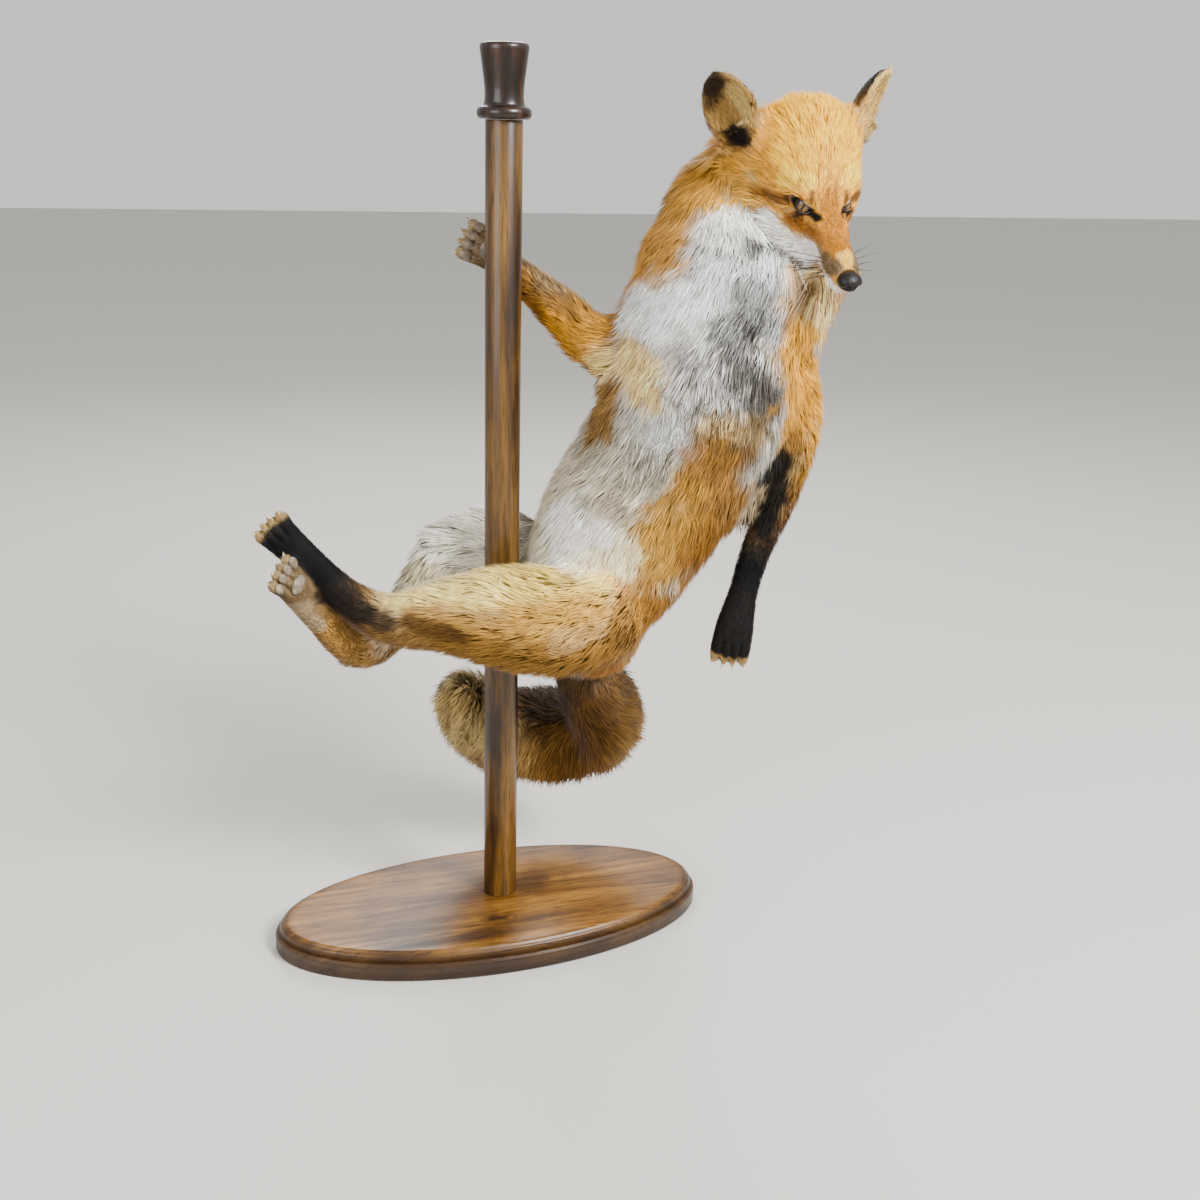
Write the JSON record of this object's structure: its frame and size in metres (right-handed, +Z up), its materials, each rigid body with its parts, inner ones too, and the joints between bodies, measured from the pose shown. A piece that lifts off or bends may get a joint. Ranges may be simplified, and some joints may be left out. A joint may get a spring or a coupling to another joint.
{
  "type": "mounted red fox",
  "caption": "Mounted life-size red fox swinging on a wood pole, held by a forepaw and crossed hind legs, on an oval wood base with a turned cap.",
  "frame": {"origin": "middle of the underside of the oval base", "axes": "+X along the base's long axis towards the side the fox leans out on, +Y away from the fox's belly, +Z up along the pole"},
  "size_m": [0.563, 0.3098, 0.8158],
  "materials": {
    "fur_orange": "soft long fur, rusty orange with paler underfur",
    "fur_grey": "soft long fur, white and grey with dark tips",
    "fur_cream": "soft long fur, cream white",
    "fur_dark": "short fur, brown black",
    "eye_glass": "glossy amber brown eye with an upright dark pupil",
    "nose_skin": "moist black nose skin with fine grain",
    "base_wood": "golden brown stain under satin varnish",
    "pole_wood": "mid brown stain with dark streaks, satin varnish",
    "cap_wood": "near black stain, glossy"
  },
  "bodies": {
    "root": {"neck": "fur_orange", "chest": "fur_grey", "belly": "fur_grey", "pelvis": "fur_orange", "head": "fur_orange", "ear_left": "fur_dark", "ear_right": "fur_dark", "foreleg_left_upper": "fur_orange", "foreleg_left_lower": "fur_dark", "forefoot_left": "fur_dark", "foreleg_right_upper": "fur_orange", "foreleg_right_lower": "fur_orange", "forefoot_right": "fur_dark", "thigh_left": "fur_orange", "shank_left": "fur_orange", "hindfoot_left": "fur_dark", "thigh_right": "fur_grey", "shank_right": "fur_orange", "hindfoot_right": "fur_orange", "tail_root": "fur_orange", "tail_upper": "fur_orange", "tail_lower": "fur_orange", "tail_tip": "fur_cream", "eye_left": "eye_glass", "eye_right": "eye_glass", "nose_pad": "nose_skin", "base_board": "base_wood", "pole": "pole_wood", "pole_cap": "cap_wood"}
  },
  "joints": []
}
